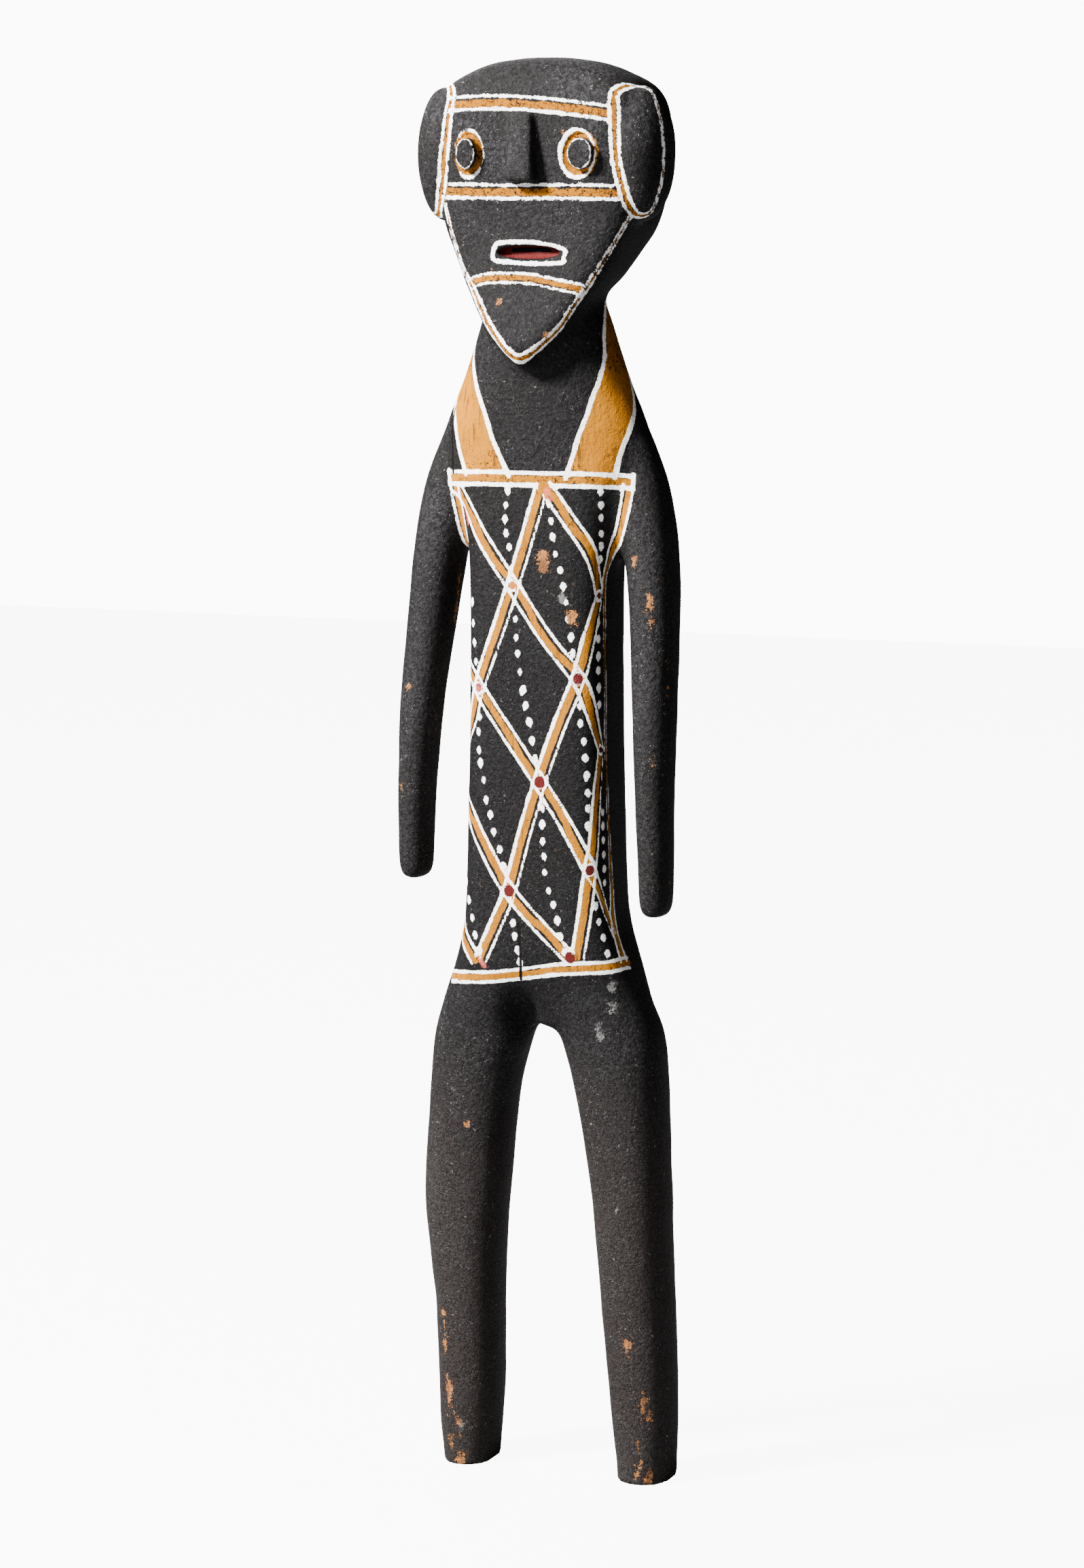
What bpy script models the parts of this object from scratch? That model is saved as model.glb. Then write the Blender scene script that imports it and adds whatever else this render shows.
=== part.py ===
"""Carved and painted softwood spirit figure, standing on its own two feet.

The figure faces -Y and its left side is +X. It is one piece of wood: legs, torso, arms and head are lofts
that run into each other and are worked into one skin, and the face is then carved into that skin.
"""

import math
from collections import namedtuple

import bmesh
import bpy
import numpy
from mathutils import Matrix, Vector

# Sizes are in metres, and heights are above the soles
FIGURE_HEIGHT = 0.7175
HEAD_HEIGHT = 0.147
JAW_HEIGHT = FIGURE_HEIGHT - HEAD_HEIGHT

# Places up the body, as shares of the figure's height
ARMPIT_HEIGHT = 0.644 * FIGURE_HEIGHT
RIGHT_HAND_HEIGHT = 0.426 * FIGURE_HEIGHT
LEFT_HAND_HEIGHT = 0.409 * FIGURE_HEIGHT
BELT_HEIGHT = 0.3665 * FIGURE_HEIGHT
CROTCH_HEIGHT = 0.318 * FIGURE_HEIGHT

# Places up the head, as shares of its height above the chin
NAPE_HEIGHT = JAW_HEIGHT + 0.146 * HEAD_HEIGHT
MOUTH_HEIGHT = JAW_HEIGHT + 0.350 * HEAD_HEIGHT
EYE_HEIGHT = JAW_HEIGHT + 0.677 * HEAD_HEIGHT
NOSE_TOP = JAW_HEIGHT + 0.811 * HEAD_HEIGHT

# Head
SKULL_WIDTH = 0.110
SKULL_DEPTH = 0.093
FACE_FRONT = 0.024
CROWN_LEAN = -0.0006
CHIN_REACH = 0.016
NECK_WIDTH = 0.066
NECK_DEPTH = 0.056

# Ear pads
EAR_HEIGHT = 0.067
EAR_LENGTH = 0.036
EAR_BULGE = 0.014
EAR_SPREAD = 0.053
EAR_BACK = -0.005
EAR_YAW = math.radians(23)

# Face
LEFT_EYE = 0.0265
RIGHT_EYE = -0.0325
LEFT_PEG = 0.0279
RIGHT_PEG = -0.0326
LEFT_PEG_WIDTH = 0.0134
RIGHT_PEG_WIDTH = 0.0106
PEG_HEIGHT = 0.0158
PEG_RISE = 0.0045
SOCKET_RIM = 0.0028
SOCKET_SINK = 0.0018
NOSE_WIDTH = 0.0145
NOSE_LENGTH = 0.0333
NOSE_RISE = 0.0088
NOSE_OFFSET = -0.0030
NOSE_ROOT_WIDTH = 0.0120
NOSE_ROOT_RISE = 0.003
NOSE_ROOT_OFFSET = -0.0040
MOUTH_WIDTH = 0.034
MOUTH_OPENING = 0.0066
MOUTH_SINK = 0.0032
SLIT_WIDTH = 0.024
SLIT_OPENING = 0.0026
SLIT_SINK = 0.008
SLIT_RAISE = 0.0014

# Trunk
TORSO_WIDTH = 0.073
TORSO_DEPTH = 0.052
HIP_WIDTH = 0.120
HIP_LEAN = 0.0012
SHOULDER_WIDTH = 0.140

# Arms
ARM_SPREAD = 0.065
ARM_SWING = 0.0165
ARM_WIDTH = 0.025
ARM_DEPTH = 0.032

# Legs and feet
LEFT_FOOT = 0.054
RIGHT_FOOT = -0.0435
LEG_BACK = 0.003
THIGH_WIDTH = 0.050
THIGH_DEPTH = 0.046
FOOT_WIDTH = 0.031
FOOT_DEPTH = 0.038

# Carving of the skin
RING_SIDES = 32
STATION_STEPS = 4
SKIN_VOXEL = 0.0026
SKIN_SMOOTHING = 12
SKIN_EASING = 0.5
SKIN_KEPT = 0.09
CLEARANCE = 0.004
EAR_MERIDIANS = 28
EAR_PARALLELS = 16
SOCKET_SIDES = 24
PEG_SIDES = 12
MOUTH_SIDES = 20
NOSE_EDGE = 0.001
NOSE_EDGE_FACES = 2

# Each leg from the sole up: rise, place outwards, widening towards the thigh
LEFT_LEG_SHARES = (
    (-0.03, 1.00, -0.22),
    (0.025, 1.00, -0.12),
    (0.09, 0.99, 0.00),
    (0.19, 0.97, 0.16),
    (0.35, 0.93, 0.28),
    (0.52, 0.885, 0.38),
    (0.66, 0.85, 0.49),
    (0.81, 0.79, 0.73),
    (0.92, 0.735, 0.97),
    (1.02, 0.645, 1.18),
    (1.10, 0.50, 1.00),
)
RIGHT_LEG_SHARES = (
    (-0.03, 0.98, -0.38),
    (0.025, 0.99, -0.20),
    (0.09, 0.99, -0.02),
    (0.19, 0.98, 0.09),
    (0.36, 0.99, 0.18),
    (0.46, 1.01, 0.34),
    (0.57, 1.025, 0.58),
    (0.66, 1.005, 0.71),
    (0.78, 0.95, 0.73),
    (0.90, 0.88, 0.84),
    (1.00, 0.77, 1.08),
    (1.10, 0.62, 0.90),
)

Station = namedtuple("Station", "height across along half_width front back front_power back_power")


def clear_scene():
    for item in list(bpy.data.objects):
        bpy.data.objects.remove(item, do_unlink=True)


def new_collection(name):
    collection = bpy.data.collections.new(name)
    bpy.context.scene.collection.children.link(collection)
    return collection


def painted_wood():
    """Matt charcoal pigment over softwood."""
    material = bpy.data.materials.new("painted_wood")
    material.use_nodes = True
    shader = material.node_tree.nodes["Principled BSDF"]
    shader.inputs["Base Color"].default_value = (0.018, 0.018, 0.020, 1.0)
    shader.inputs["Roughness"].default_value = 0.72
    shader.inputs["Metallic"].default_value = 0.0
    return material


def between(start, end, share):
    return start + (end - start) * share


def smooth_run(stations):
    """The stations of a loft with a smooth run of further ones between them."""
    keys = numpy.array(stations)
    keys = numpy.vstack([2 * keys[0] - keys[1], keys, 2 * keys[-1] - keys[-2]])
    rows = []
    for before, start, end, after in zip(keys, keys[1:], keys[2:], keys[3:]):
        for step in range(STATION_STEPS):
            t = step / STATION_STEPS
            slope = (end - before) * t
            bend = (2 * before - 5 * start + 4 * end - after) * t ** 2
            twist = (3 * start - before - 3 * end + after) * t ** 3
            rows.append(0.5 * (2 * start + slope + bend + twist))
    rows.append(keys[-2])
    return [Station(*row) for row in rows]


def ring_point(station, angle):
    """A point of a section that is squarer or rounder in front than behind."""
    c = math.cos(angle)
    s = math.sin(angle)
    power = station.front_power if s < 0 else station.back_power
    depth = station.front if s < 0 else station.back
    x = station.across + station.half_width * math.copysign(abs(c) ** (2 / power), c)
    y = station.along + depth * math.copysign(abs(s) ** (2 / power), s)
    return Vector((x, y, station.height))


def add_loft(shape, stations):
    """Closed skin through the sections, lowest first."""
    rings = []
    for station in smooth_run(stations):
        turns = [2 * math.pi * side / RING_SIDES for side in range(RING_SIDES)]
        rings.append([shape.verts.new(ring_point(station, turn)) for turn in turns])
    for low, high in zip(rings, rings[1:]):
        for side in range(RING_SIDES):
            following = (side + 1) % RING_SIDES
            shape.faces.new((low[side], low[following], high[following], high[side]))
    shape.faces.new(list(reversed(rings[0])))
    shape.faces.new(rings[-1])


def limb_station(height, across, along, half_width, half_depth, power=2.5):
    return Station(height, across, along, half_width, half_depth, half_depth, power, power)


def leg_stations(foot, swellings):
    """A pole-like leg. Shares of the crotch height, of the foot's place, and from foot to thigh size."""
    stations = []
    for rise, outward, widening in swellings:
        half_width = between(FOOT_WIDTH, THIGH_WIDTH, widening) / 2
        half_depth = between(FOOT_DEPTH, THIGH_DEPTH, min(rise, 1)) / 2
        back = LEG_BACK * (1 - rise)
        stations.append(limb_station(rise * CROTCH_HEIGHT, foot * outward, back, half_width, half_depth))
    return stations


def trunk_stations():
    """Hips, boxy torso and sloping shoulders up to the neck."""
    hip = HIP_WIDTH / 2
    side = TORSO_WIDTH / 2
    depth = TORSO_DEPTH / 2
    shoulder = SHOULDER_WIDTH / 2
    neck = NECK_WIDTH / 2
    neck_depth = NECK_DEPTH / 2
    waist = between(BELT_HEIGHT, ARMPIT_HEIGHT, 0.22)
    rows = (
        (between(CROTCH_HEIGHT, BELT_HEIGHT, 0.12), hip * 0.96, depth * 0.60, 2.6),
        (between(CROTCH_HEIGHT, BELT_HEIGHT, 0.40), hip * 0.945, depth * 0.78, 2.8),
        (BELT_HEIGHT, between(side, hip, 0.51), depth * 0.95, 3.6),
        (between(BELT_HEIGHT, waist, 0.45), between(side, hip, 0.21), depth, 4.6),
        (waist, side * 1.06, depth, 5.0),
        (between(waist, ARMPIT_HEIGHT, 0.55), side, depth, 5.0),
        (ARMPIT_HEIGHT, side * 1.01, depth, 4.6),
        (between(ARMPIT_HEIGHT, NAPE_HEIGHT, 0.26), between(side, shoulder, 0.14), depth * 0.98, 3.6),
        (between(ARMPIT_HEIGHT, NAPE_HEIGHT, 0.42), between(side, shoulder, 0.46), depth * 0.97, 2.5),
        (between(ARMPIT_HEIGHT, NAPE_HEIGHT, 0.56), between(side, shoulder, 0.51), depth * 0.98, 2.3),
        (between(ARMPIT_HEIGHT, NAPE_HEIGHT, 0.72), neck * 1.35, between(depth, neck_depth, 0.35), 2.3),
        (between(ARMPIT_HEIGHT, NAPE_HEIGHT, 0.87), neck * 1.13, between(depth, neck_depth, 0.75), 2.3),
        (NAPE_HEIGHT, neck * 0.95, neck_depth * 0.97, 2.3),
        (between(NAPE_HEIGHT, FIGURE_HEIGHT, 0.05), neck * 0.86, neck_depth * 0.85, 2.3),
        (between(NAPE_HEIGHT, FIGURE_HEIGHT, 0.16), neck * 0.82, neck_depth * 0.8, 2.3),
    )
    stations = []
    for height, width, deep, power in rows:
        lean = HIP_LEAN * max(0, 1 - abs(height - BELT_HEIGHT) / (BELT_HEIGHT - CROTCH_HEIGHT))
        stations.append(limb_station(height, lean, 0, width, deep, power))
    return stations


def arm_stations(side, hand_height):
    """An arm that leaves the shoulder, stands clear of the torso and swings a little forward."""
    shoulder_height = between(ARMPIT_HEIGHT, NAPE_HEIGHT, 0.55)
    shares = (
        (0.00, 1.00, 1.00, 0.56, 0.66),
        (0.028, 1.00, 1.00, 0.66, 0.74),
        (0.10, 1.00, 1.00, 0.70, 0.78),
        (0.24, 0.985, 0.99, 0.76, 0.83),
        (0.40, 0.965, 0.80, 0.86, 0.89),
        (0.56, 0.93, 0.42, 0.95, 0.96),
        (0.70, 0.89, 0.15, 1.05, 1.00),
        (0.80, 0.84, 0.05, 1.14, 0.98),
        (0.90, 0.755, 0.00, 1.20, 0.88),
        (0.97, 0.67, 0.00, 1.14, 0.78),
        (1.04, 0.585, 0.00, 0.98, 0.70),
        (1.13, 0.50, 0.00, 0.72, 0.55),
    )
    stations = []
    for rise, outward, swing, width, depth in shares:
        height = between(hand_height, shoulder_height, rise)
        place = side * ARM_SPREAD * outward
        half_width = ARM_WIDTH / 2 * width
        half_depth = ARM_DEPTH / 2 * depth
        stations.append(limb_station(height, place, -ARM_SWING * swing, half_width, half_depth, 2.4))
    return stations


def head_stations():
    """A flat face that narrows in a V to a jutting chin, with a round skull behind it.

    The shares are of the head's height, half its width, the face's distance in front of the axis (where the
    section is widest, then its front) and the skull's distance behind it.
    """
    half = SKULL_WIDTH / 2
    back = SKULL_DEPTH - FACE_FRONT
    chin = (FACE_FRONT + CHIN_REACH) / FACE_FRONT
    shares = (
        (-0.027, 0.08, 0.86 * chin, 0.94 * chin, -0.44, 3.0, 2.4),
        (0.000, 0.11, 0.88 * chin, 0.98 * chin, -0.40, 3.0, 2.4),
        (0.017, 0.17, 0.82 * chin, 1.01 * chin, -0.32, 4.0, 2.4),
        (0.044, 0.25, 0.75 * chin, 1.00 * chin, -0.17, 5.0, 2.4),
        (0.099, 0.39, 0.65 * chin, 0.94 * chin, 0.00, 5.0, 2.4),
        (0.167, 0.52, 0.79, between(1, chin, 0.63), 0.22, 5.0, 2.4),
        (0.214, 0.60, 0.58, between(1, chin, 0.47), 0.38, 5.0, 2.4),
        (0.262, 0.685, 0.33, between(1, chin, 0.32), 0.56, 5.0, 2.5),
        (0.350, 0.80, 0.17, between(1, chin, 0.13), 0.73, 5.0, 2.8),
        (0.439, 0.91, 0.08, 1.01, 0.90, 5.0, 3.0),
        (0.575, 0.98, 0.00, 1.00, 0.98, 5.0, 3.1),
        (0.711, 1.00, 0.00, 1.00, 1.00, 5.0, 3.1),
        (0.820, 0.995, 0.00, 0.99, 1.00, 4.6, 3.1),
        (0.901, 0.91, 0.00, 0.91, 0.88, 4.0, 3.0),
        (0.946, 0.74, 0.00, 0.73, 0.67, 3.2, 2.8),
        (0.980, 0.53, 0.00, 0.50, 0.46, 2.6, 2.6),
        (1.000, 0.20, 0.00, 0.18, 0.20, 2.2, 2.2),
    )
    stations = []
    for rise, width, widest, front, behind, front_power, back_power in shares:
        height = between(JAW_HEIGHT, FIGURE_HEIGHT, rise)
        lean = CROWN_LEAN * rise
        centre = -FACE_FRONT * widest
        depths = (FACE_FRONT * front + centre, back * behind - centre)
        stations.append(Station(height, lean, centre, half * width, *depths, front_power, back_power))
    return stations


def wood_body(collection, material):
    """All the limbs worked into one skin."""
    shape = bmesh.new()
    add_loft(shape, leg_stations(LEFT_FOOT, LEFT_LEG_SHARES))
    add_loft(shape, leg_stations(RIGHT_FOOT, RIGHT_LEG_SHARES))
    add_loft(shape, trunk_stations())
    add_loft(shape, arm_stations(1, LEFT_HAND_HEIGHT))
    add_loft(shape, arm_stations(-1, RIGHT_HAND_HEIGHT))
    add_loft(shape, head_stations())
    figure = mesh_object("spirit_figure", shape, collection)
    figure.data.materials.append(material)
    skin = figure.modifiers.new("skin", "REMESH")
    skin.mode = "VOXEL"
    skin.voxel_size = SKIN_VOXEL
    smooth = figure.modifiers.new("smooth", "SMOOTH")
    smooth.factor = SKIN_EASING
    smooth.iterations = SKIN_SMOOTHING
    facets = figure.modifiers.new("facets", "DECIMATE")
    facets.ratio = SKIN_KEPT
    return figure


def mesh_object(name, shape, collection):
    mesh = bpy.data.meshes.new(name)
    shape.normal_update()
    shape.to_mesh(mesh)
    shape.free()
    item = bpy.data.objects.new(name, mesh)
    collection.objects.link(item)
    return item


def helper(name, shape, tools):
    item = mesh_object(name, shape, tools)
    item.hide_render = True
    item.display_type = "WIRE"
    return item


def carve(figure, tool, operation):
    step = figure.modifiers.new(tool.name, "BOOLEAN")
    step.operation = operation
    step.object = tool


def ear_pad(side, tools):
    """A long pad on the side of the head, turned a little to the front."""
    shape = bmesh.new()
    bmesh.ops.create_uvsphere(shape, u_segments=EAR_MERIDIANS, v_segments=EAR_PARALLELS, radius=1.0)
    size = Matrix.Diagonal((EAR_BULGE, EAR_LENGTH / 2, EAR_HEIGHT / 2, 1))
    turn = Matrix.Rotation(-side * EAR_YAW, 4, "Z")
    place = Matrix.Translation((side * EAR_SPREAD, EAR_BACK, EYE_HEIGHT))
    bmesh.ops.transform(shape, matrix=place @ turn @ size, verts=shape.verts)
    return helper("left_ear_pad" if side > 0 else "right_ear_pad", shape, tools)


def face_rod(name, place, size, depths, sides, tools):
    """A round or oval rod along Y, from one depth to another."""
    across, height = place
    width, opening = size
    start, end = depths
    shape = bmesh.new()
    bmesh.ops.create_cone(shape, cap_ends=True, segments=sides, radius1=0.5, radius2=0.5, depth=1.0)
    turn = Matrix.Rotation(math.pi / 2, 4, "X")
    stretch = Matrix.Diagonal((width, end - start, opening, 1))
    shift = Matrix.Translation((across, (start + end) / 2, height))
    bmesh.ops.transform(shape, matrix=shift @ stretch @ turn, verts=shape.verts)
    return helper(name, shape, tools)


def nose_block(tools):
    """A slab that grows out of the forehead, widens downwards and ends in a flat underside."""
    root = (NOSE_TOP, NOSE_ROOT_WIDTH, NOSE_ROOT_OFFSET, NOSE_ROOT_RISE)
    tip = (NOSE_TOP - NOSE_LENGTH, NOSE_WIDTH, NOSE_OFFSET, NOSE_RISE)
    shape = bmesh.new()
    bmesh.ops.create_cube(shape, size=1.0)
    for corner in shape.verts:
        height, width, offset, rise = tip if corner.co.z < 0 else root
        forward = corner.co.y < 0
        corner.co.x = offset + corner.co.x * width
        corner.co.y = -FACE_FRONT - rise if forward else -FACE_FRONT + CLEARANCE
        corner.co.z = height
    front = [edge for edge in shape.edges if all(end.co.y < -FACE_FRONT for end in edge.verts)]
    bmesh.ops.bevel(shape, geom=front, offset=NOSE_EDGE, segments=NOSE_EDGE_FACES, affect="EDGES")
    return helper("nose", shape, tools)


def sole_cutter(tools):
    """Cuts both feet off level."""
    shape = bmesh.new()
    bmesh.ops.create_cube(shape, size=1.0)
    reach = 2 * (max(abs(LEFT_FOOT), abs(RIGHT_FOOT)) + FOOT_DEPTH)
    size = Matrix.Diagonal((reach, 2 * FOOT_DEPTH, FOOT_DEPTH, 1))
    place = Matrix.Translation((0, 0, -FOOT_DEPTH / 2))
    bmesh.ops.transform(shape, matrix=place @ size, verts=shape.verts)
    return helper("soles", shape, tools)


def carve_face(figure, tools):
    inside = -FACE_FRONT + 2 * CLEARANCE
    outside = -FACE_FRONT - CLEARANCE
    for side in (1, -1):
        carve(figure, ear_pad(side, tools), "UNION")
    carve(figure, nose_block(tools), "UNION")
    socket_depths = (outside, -FACE_FRONT + SOCKET_SINK)
    peg_depths = (-FACE_FRONT - PEG_RISE, inside)
    eyes = (
        ("left_eye", LEFT_EYE, LEFT_PEG, LEFT_PEG_WIDTH),
        ("right_eye", RIGHT_EYE, RIGHT_PEG, RIGHT_PEG_WIDTH),
    )
    for name, across, peg_across, width in eyes:
        socket_size = (width + 2 * SOCKET_RIM, PEG_HEIGHT + 2 * SOCKET_RIM)
        socket_place = (across, EYE_HEIGHT)
        socket = face_rod(name + "_socket", socket_place, socket_size, socket_depths, SOCKET_SIDES, tools)
        carve(figure, socket, "DIFFERENCE")
        peg_place = (peg_across, EYE_HEIGHT)
        peg = face_rod(name + "_peg", peg_place, (width, PEG_HEIGHT), peg_depths, PEG_SIDES, tools)
        carve(figure, peg, "UNION")
    mouth_depths = (outside - CLEARANCE, -FACE_FRONT + MOUTH_SINK)
    mouth_size = (MOUTH_WIDTH, MOUTH_OPENING)
    mouth = face_rod("mouth", (0, MOUTH_HEIGHT), mouth_size, mouth_depths, MOUTH_SIDES, tools)
    carve(figure, mouth, "DIFFERENCE")
    slit_depths = (outside - CLEARANCE, -FACE_FRONT + SLIT_SINK)
    slit_place = (0, MOUTH_HEIGHT + SLIT_RAISE)
    slit = face_rod("mouth_slit", slit_place, (SLIT_WIDTH, SLIT_OPENING), slit_depths, MOUTH_SIDES, tools)
    carve(figure, slit, "DIFFERENCE")


def centre_over_origin(figure, centre):
    """Moves the figure so that the origin is on the ground under the middle of its box."""
    solid = figure.evaluated_get(bpy.context.evaluated_depsgraph_get())
    corners = [solid.matrix_world @ Vector(corner) for corner in solid.bound_box]
    xs = [corner.x for corner in corners]
    ys = [corner.y for corner in corners]
    centre.location = (-(min(xs) + max(xs)) / 2, -(min(ys) + max(ys)) / 2, 0)


def main():
    clear_scene()
    parts = new_collection("spirit_figure_parts")
    tools = new_collection("carving_tools")
    figure = wood_body(parts, painted_wood())
    carve_face(figure, tools)
    carve(figure, sole_cutter(tools), "DIFFERENCE")
    centre = bpy.data.objects.new("figure_centre", None)
    parts.objects.link(centre)
    for item in [figure, *tools.objects]:
        item.parent = centre
    centre_over_origin(figure, centre)


main()
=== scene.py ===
# A carved softwood spirit figure, painted in black, white, yellow ochre and red ochre.
# It faces -Y, its left side is +X, and every place in the dictionaries is in millimetres.
import math

import bmesh
import bpy
import numpy as np
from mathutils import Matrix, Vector, noise
from mathutils.bvhtree import BVHTree


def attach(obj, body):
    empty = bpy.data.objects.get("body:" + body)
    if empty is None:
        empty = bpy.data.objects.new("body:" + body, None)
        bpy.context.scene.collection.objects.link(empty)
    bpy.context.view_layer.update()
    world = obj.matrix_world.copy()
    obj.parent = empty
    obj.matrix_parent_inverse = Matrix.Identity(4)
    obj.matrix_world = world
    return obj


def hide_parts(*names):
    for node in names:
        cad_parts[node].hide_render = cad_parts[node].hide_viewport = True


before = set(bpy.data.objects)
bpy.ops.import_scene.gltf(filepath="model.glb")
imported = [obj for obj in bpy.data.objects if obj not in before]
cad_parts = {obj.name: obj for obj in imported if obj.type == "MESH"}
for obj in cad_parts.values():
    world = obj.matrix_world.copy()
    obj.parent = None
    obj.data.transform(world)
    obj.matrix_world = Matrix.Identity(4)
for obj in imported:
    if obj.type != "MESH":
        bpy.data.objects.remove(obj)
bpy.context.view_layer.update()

mm = 0.001


# small helpers for meshes and nodes

def toMetres(place):
    return Vector(place) * mm


def meshObject(name, points, edges=(), faces=()):
    mesh = bpy.data.meshes.new(name)
    mesh.from_pydata([tuple(point) for point in points], list(edges), list(faces))
    item = bpy.data.objects.new(name, mesh)
    bpy.context.scene.collection.objects.link(item)
    return item


def bakeModifiers(item):
    # the evaluated mesh takes the place of the mesh and its modifiers
    graph = bpy.context.evaluated_depsgraph_get()
    baked = bpy.data.meshes.new_from_object(item.evaluated_get(graph), depsgraph=graph)
    old = item.data
    item.modifiers.clear()
    item.data = baked
    bpy.data.meshes.remove(old)


def pointsOf(item):
    flat = np.empty(len(item.data.vertices) * 3, np.float32)
    item.data.vertices.foreach_get("co", flat)
    return flat.reshape(-1, 3).astype(float)


def normalsOf(item):
    flat = np.empty(len(item.data.vertices) * 3, np.float32)
    item.data.vertices.foreach_get("normal", flat)
    return flat.reshape(-1, 3).astype(float)


def setPoints(item, points):
    item.data.vertices.foreach_set("co", points.astype(np.float32).ravel())
    item.data.update()


def weigh(item, name, weights):
    # a vertex group in steps of one tenth
    group = item.vertex_groups.new(name=name)
    tenths = np.round(np.clip(weights, 0, 1) * 10).astype(int)
    for step in range(1, 11):
        group.add(np.flatnonzero(tenths == step).tolist(), step / 10, "REPLACE")


def addNode(tree, kind, inputs=None, **settings):
    made = tree.nodes.new(kind)
    for name, value in settings.items():
        setattr(made, name, value)
    for socket, value in (inputs or {}).items():
        if isinstance(value, bpy.types.NodeSocket):
            tree.links.new(value, made.inputs[socket])
        else:
            made.inputs[socket].default_value = value
    return made


def mathNode(tree, operation, first, second=0.0, third=0.0):
    node = addNode(tree, "ShaderNodeMath", {0: first, 1: second, 2: third}, operation=operation)
    return node.outputs[0]


# the carved wood

carving = {
    "node": "spirit_figure",
    "voxel": 1.2,
    "easing": 3,            # passes over everything
    "melting": 30,          # passes over the broad forms, which take the facets out
    "keptShare": 0.44,
    "crispBalls": (((27.5, -42, 670), 11), ((-32, -42, 670), 11), ((1, -36, 622), 12), ((-12, -36, 622), 8),
                   ((13, -36, 622), 8), ((-1, -51, 571), 8)),
    "crispBoxes": (((-12, -60, 653), (5, -38, 664)), ((-1, -60, 653), (5, -38, 690))),
    "roundBox": ((26, -46, 288), (46, -14, 490)),       # the torso's corner is rounder than the solid's
    "rounding": 70,         # passes over it
    "hollow": (-6, 239),    # cut in from the front, between the tops of the thighs
    "hollowHalves": (9, 12),
    "hollowDepth": 11,
    "hollowBack": -14,      # it ends here, and is fully cut from hollowFade before
    "hollowFade": 8,
    "soleHeight": 2.5,
    "fade": 6,
    "waveHeight": 0.22,     # unevenness from the knife, long and short
    "waveLength": 17,
    "toolHeight": 0.07,
    "toolLength": 5,
    "toolRise": 0.35,
    "shave": 0.12,
    "fineBalls": (((26, -42, 670), 13), ((-32.5, -42, 670), 12)),      # where the thinnest lines are painted
    "paintedBoxes": (
        ((-53, -90, 248), (53, -12, 600)), ((-56, -90, 500), (56, 6, 605)),
        ((-90, -90, 562), (90, -22, 740)), ((-90, -90, 628), (-44, 0, 712)), ((44, -90, 628), (90, 0, 712)),
    ),
}


def solidSkin(look):
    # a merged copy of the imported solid, as an even mesh
    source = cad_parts[look["node"]]
    shape = bmesh.new()
    shape.from_mesh(source.data)
    bmesh.ops.remove_doubles(shape, verts=shape.verts, dist=0.01 * mm)
    mesh = bpy.data.meshes.new("carvedFigure")
    shape.to_mesh(mesh)
    shape.free()
    mesh.materials.clear()
    item = bpy.data.objects.new("carvedFigure", mesh)
    bpy.context.scene.collection.objects.link(item)
    remesh = item.modifiers.new("skin", "REMESH")
    remesh.mode = "VOXEL"
    remesh.voxel_size = look["voxel"] * mm
    bakeModifiers(item)
    return item


def boxReach(points, box):
    # how far each point lies outside the box
    low, high = np.array(box) * mm
    outside = np.maximum(np.maximum(low - points, points - high), 0)
    return np.linalg.norm(outside, axis=1) / mm


def broadForms(points, look):
    # 1 on the broad forms, 0 on the crisp ones
    reach = np.full(len(points), 1e3)
    for centre, radius in look["crispBalls"]:
        away = np.linalg.norm(points - np.array(centre) * mm, axis=1) / mm - radius
        reach = np.minimum(reach, away)
    for box in look["crispBoxes"]:
        reach = np.minimum(reach, boxReach(points, box))
    reach = np.minimum(reach, points[:, 2] / mm - look["soleHeight"])
    return np.clip(reach / look["fade"], 0, 1)


def smoothOut(item, passes, group=""):
    ease = item.modifiers.new("ease", "SMOOTH")
    ease.factor = 0.5
    ease.iterations = passes
    ease.vertex_group = group
    bakeModifiers(item)


def cutHollow(item, look):
    points = pointsOf(item)
    away = (points[:, ::2] / mm - look["hollow"]) / look["hollowHalves"]
    front = np.clip((look["hollowBack"] - points[:, 1] / mm) / look["hollowFade"], 0, 1)
    points[:, 1] += np.exp(-(away ** 2).sum(axis=1)) * front * look["hollowDepth"] * mm
    setPoints(item, points)


def handCarved(item, look):
    # the shallow unevenness that a knife leaves
    points = pointsOf(item)
    normals = normalsOf(item)
    broad = broadForms(points, look)
    height = np.empty(len(points))
    for index, point in enumerate(points):
        place = Vector(point) / mm
        wave = noise.noise(place / look["waveLength"])
        tool = noise.noise(Vector((place.x, place.y, place.z * look["toolRise"])) / look["toolLength"])
        height[index] = wave * look["waveHeight"] + tool * look["toolHeight"] - look["shave"]
    setPoints(item, points + normals * (height * broad * mm)[:, None])


def plainPlaces(points, look):
    # true where nothing is painted, so the mesh may be coarser there
    return np.min([boxReach(points, box) for box in look["paintedBoxes"]], axis=0) > 0


def splitFaces(item, look):
    # halves every edge inside the fine balls
    shape = bmesh.new()
    shape.from_mesh(item.data)
    for centre, radius in look["fineBalls"]:
        middle = toMetres(centre)
        near = [edge for edge in shape.edges if (edge.verts[0].co - middle).length < radius * mm]
        bmesh.ops.subdivide_edges(shape, edges=near, cuts=1, use_grid_fill=True)
    bmesh.ops.triangulate(shape, faces=shape.faces)
    shape.to_mesh(item.data)
    shape.free()


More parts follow.
